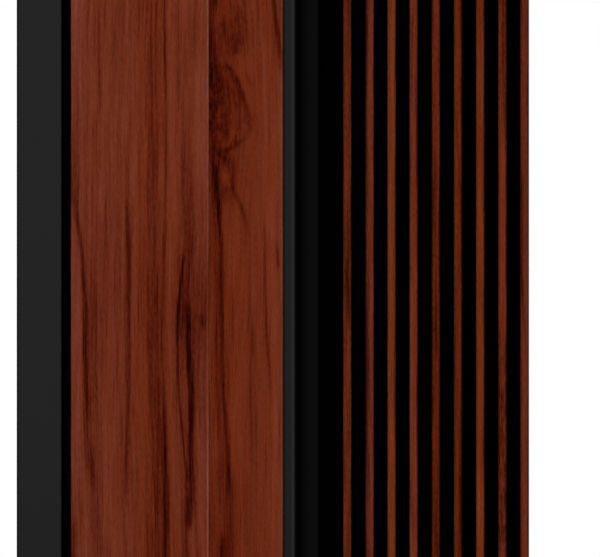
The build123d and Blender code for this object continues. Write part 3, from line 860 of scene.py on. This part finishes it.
def newFasteners(name, points, faces, places):
    # All fasteners of one node as one piece, named as the node with dots
    points, faces = repeatAt(points, faces, places)
    return newPiece(name.replace("_", "."), points, faces, cadFinishes["zinc_steel"], name)


# Countersunk screws with a cross recess and a thread
screwLook = {
    "rows": 3, "turns": 64, "faceRings": 18, "coneRings": 4, "tipRings": 8, "shaftStep": 0.15,
    "heart": 0.06, "tip": 3.0, "tipEnd": 0.94, "leastRadius": 0.05,
    "pitch": 1.5, "threadDepth": 0.35, "threadFrom": (0.4, 1.2),
    "recessDepth": 1.3, "armWidth": 0.24, "armEdge": (0.4, 0.6), "armReach": 0.66, "armEnd": 0.75,
}
screwSets = {"stile_screws": (1.95, 1), "trim_screws": (1.5, -1)}  # shank radius, side it faces


def makeScrews(name, shank, side, look):
    # A profile of radius over depth turned about the screw's axis: a flat head, a cone, a threaded shank and
    # a tip. The recess pushes the head in where a point lies in one of two crossed bars; the thread cuts into
    # the shank by how far a point is from a helix, as a triangle wave of depth over pitch minus turn.
    low, high = boxOf(name)
    head, length = (high[0] - low[0]) / 2, high[1] - low[1]
    neck = head - shank
    turn = 2 * np.pi * np.arange(look["turns"]) / look["turns"]
    face = np.linspace(look["heart"], 1, look["faceRings"]) * head
    cone = np.linspace(0, 1, look["coneRings"] + 1)[1:]
    shaft = np.arange(neck + look["shaftStep"], length - look["tip"], look["shaftStep"])
    tip = np.linspace(0, look["tipEnd"], look["tipRings"])
    radius = np.concatenate([face, head - neck * cone, np.full_like(shaft, shank), shank * (1 - tip)])
    depth = np.concatenate([np.zeros_like(face), neck * cone, shaft, length - look["tip"] * (1 - tip)])
    radius, depth = (np.repeat(values[:, None], len(turn), axis=1) for values in (radius, depth))
    fromArm = np.minimum(np.abs(radius * np.cos(turn)), np.abs(radius * np.sin(turn)))
    bar = 1 - smooth(fromArm, *(share * look["armWidth"] * head for share in look["armEdge"]))
    inside = 1 - smooth(radius, look["armEnd"] * look["armReach"] * head, look["armReach"] * head)
    sunk = look["recessDepth"] * bar * inside * (depth == 0)
    wave = 2 * np.abs((depth / look["pitch"] - turn / (2 * np.pi)) % 1 - 0.5)
    onShaft = smooth(depth - neck, *look["threadFrom"])
    radius = np.maximum(radius - look["threadDepth"] * wave * onShaft, look["leastRadius"])
    depth = depth + sunk
    rings = np.stack([radius * np.cos(turn), -side * depth, side * radius * np.sin(turn)], axis=-1)
    points, faces = closeRings(rings, (0, -side * look["recessDepth"], 0), (0, -side * length, 0))
    headY = high[1] if side > 0 else low[1]
    heights = np.linspace(low[2] + head, high[2] - head, look["rows"])
    return newFasteners(name, points, faces, [((low[0] + high[0]) / 2, headY, z) for z in heights])


for name, (shank, side) in screwSets.items():
    makeScrews(name, shank, side, screwLook)

# Staples of flat wire
stapleLook = {
    "rows": 4, "crown": 5.8, "wireWidth": 1.25, "wireThickness": 1.05, "bend": 0.8,
    "sides": 16, "legRings": 4, "bendRings": 7, "squareness": 0.45, "groundTip": 0.35,
}
stapleColumns = {"wide_plank_staples": 2, "narrow_plank_staples": 1, "slat_staples": 9}


def makeStaples(name, columns, look):
    # A rounded flat wire carried along a U: up one leg, round a bend, along the crown, round and down the
    # other leg. The wire's section is a squared-off ellipse, its tips are ground to a chisel.
    low, high = boxOf(name)
    wide, thick, crown = look["wireWidth"] / 2, look["wireThickness"] / 2, look["crown"] / 2
    half, bend = crown - thick, look["bend"]
    legs = np.linspace(high[1] - low[1], thick + bend, look["legRings"] + 1)[:-1]
    arc = np.linspace(0, np.pi / 2, look["bendRings"])
    down = np.concatenate([legs, thick + bend * (1 - np.sin(arc))])
    out = np.concatenate([np.full_like(legs, half), half - bend * (1 - np.cos(arc))])
    path = np.concatenate([np.stack([-out, down], 1), np.stack([out, down], 1)[::-1]])
    along = np.gradient(path, axis=0)
    along /= np.linalg.norm(along, axis=1, keepdims=True)
    turn = 2 * np.pi * np.arange(look["sides"]) / look["sides"]
    flat, deep = (size * np.sign(wave) * np.abs(wave) ** look["squareness"]
                  for size, wave in ((wide, np.cos(turn)), (thick, np.sin(turn))))
    ground = np.ones((len(path), 1))
    ground[[0, -1]] = look["groundTip"]
    z = path[:, :1] - along[:, 1:] * deep * ground
    y = -(path[:, 1:] + along[:, :1] * deep * ground)
    rings = np.stack([np.broadcast_to(flat, z.shape), y, z], axis=-1)
    points, faces = closeRings(rings, rings[0].mean(0), rings[-1].mean(0))
    places = [(x, high[1], z) for x in np.linspace(low[0] + wide, high[0] - wide, columns)
              for z in np.linspace(low[2] + crown, high[2] - crown, look["rows"])]
    return newFasteners(name, points, faces, places)


for name, columns in stapleColumns.items():
    makeStaples(name, columns, stapleLook)
print("screws and staples made")

# Soft studio light: power in watts, size and place in metres, all aimed at the middle of the panel
studio = {
    "lamps": {
        "key": (62.0, 1.6, (-2.3, -2.6, 1.3)),
        "fill": (26.0, 1.8, (2.6, -2.6, 0.6)),
        "behindLeft": (30.0, 1.6, (-1.8, 2.6, 1.2)),
        "behindRight": (34.0, 1.6, (2.2, 2.4, 1.6)),
    },
    "ambient": 0.34,
}


def aim(thing, target):
    # Tilted down from level by the target's fall over its distance, and turned to face it
    offset = np.array(target, float) - np.array(thing.location)
    level = math.hypot(offset[0], offset[1])
    thing.rotation_euler = (math.atan2(level, -offset[2]), 0, math.atan2(-offset[0], offset[1]))


def makeStudio(setup):
    # Disc lamps, and a world that is seen as white, also in gloss and glass, but lights at the ambient level
    for name, (power, size, place) in setup["lamps"].items():
        light = bpy.data.lights.new(name, "AREA")
        light.shape, light.size, light.energy = "DISK", size, power
        lamp = bpy.data.objects.new(name, light)
        bpy.context.scene.collection.objects.link(lamp)
        lamp.location = place
        lamp.visible_camera = False
        aim(lamp, (0, 0, 0))
    world = bpy.data.worlds.new("studio")
    bpy.context.scene.world = world
    world.use_nodes = True
    world.node_tree.nodes.clear()
    start = Feed(world.node_tree)
    path = start.node("LightPath", out="Is Camera Ray")
    seen = path.math("MINIMUM", path + path.other("Is Glossy Ray") + path.other("Is Transmission Ray"), 1.0)
    white = start.node("Background", {}, {
        "Color": (1.0, 1.0, 1.0, 1.0), "Strength": setup["ambient"] + (1 - setup["ambient"]) * seen})
    start.node("OutputWorld", {}, {"Surface": white})


# Pale floor, in metres; it fades out between two shares of its radius
floorLook = {
    "radius": 2.6, "rings": 12, "turns": 96, "fade": (0.45, 0.98), "roughness": 0.9,
    "colour": linear(236, 235, 233), "dull": 0.97, "mottle": ((6.0, 6.0, 6.0), 3.0),
}


def makeFloor(look):
    # A flat disc under the panel: radius times cosine and sine of the turn, fading out towards its rim
    rings, turns = look["rings"], look["turns"]
    radius = look["radius"] * np.linspace(0, 1, rings + 1)[1:, None]
    angle = 2 * np.pi * np.arange(turns) / turns
    level = np.full((rings, turns), cadLow.z)
    ring = np.stack([radius * np.cos(angle), radius * np.sin(angle), level], axis=-1)
    points = np.concatenate([[(0, 0, cadLow.z)], ring.reshape(-1, 3)])
    quads = 1 + bandFaces(rings, turns)[:, ::-1]
    inner = 1 + np.arange(turns)
    fan = np.stack([np.zeros(turns, int), inner, np.roll(inner, -1)], axis=-1)
    mesh = bpy.data.meshes.new("floor")
    mesh.from_pydata(points.tolist(), [], quads.tolist() + fan.tolist())
    finish, start, place = newFinish("paleFloor")
    spot = start.node("VectorMath", {"operation": "MULTIPLY"}, {0: place, 1: (1.0, 1.0, 0.0)})
    reach = start.node("VectorMath", {"operation": "LENGTH"}, {0: spot}, out="Value")
    dull = darker(look["colour"], look["dull"])
    colour = mixColour(start, noise(place, *look["mottle"]), dull, look["colour"])
    closeFinish(start, {
        "Base Color": colour, "Roughness": look["roughness"], "Specular IOR Level": 0.0,
        "Alpha": stretch(reach, *(share * look["radius"] for share in look["fade"]), 1.0, 0.0)})
    mesh.materials.append(finish)
    floor = bpy.data.objects.new("floor", mesh)
    bpy.context.scene.collection.objects.link(floor)


makeStudio(studio)
makeFloor(floorLook)
print("studio made")

# Camera straight in front of the panel: the picture is 702.6 mm wide at the face of the planks
shot = {"pictureWidth": 0.7026, "distance": 6.0, "sensor": 36.0, "x": 0.0318, "z": 0.0, "farthest": 100}


def makeCamera(view):
    data = bpy.data.cameras.new("camera")
    data.sensor_width = view["sensor"]
    data.lens = view["sensor"] * view["distance"] / view["pictureWidth"]
    data.clip_end = view["farthest"]
    camera = bpy.data.objects.new("camera", data)
    bpy.context.scene.collection.objects.link(camera)
    camera.location = (view["x"], cadLow.y - view["distance"], view["z"])
    camera.rotation_euler = (math.pi / 2, 0, 0)
    bpy.context.scene.camera = camera


makeCamera(shot)
bpy.context.scene.view_settings.view_transform = "Standard"
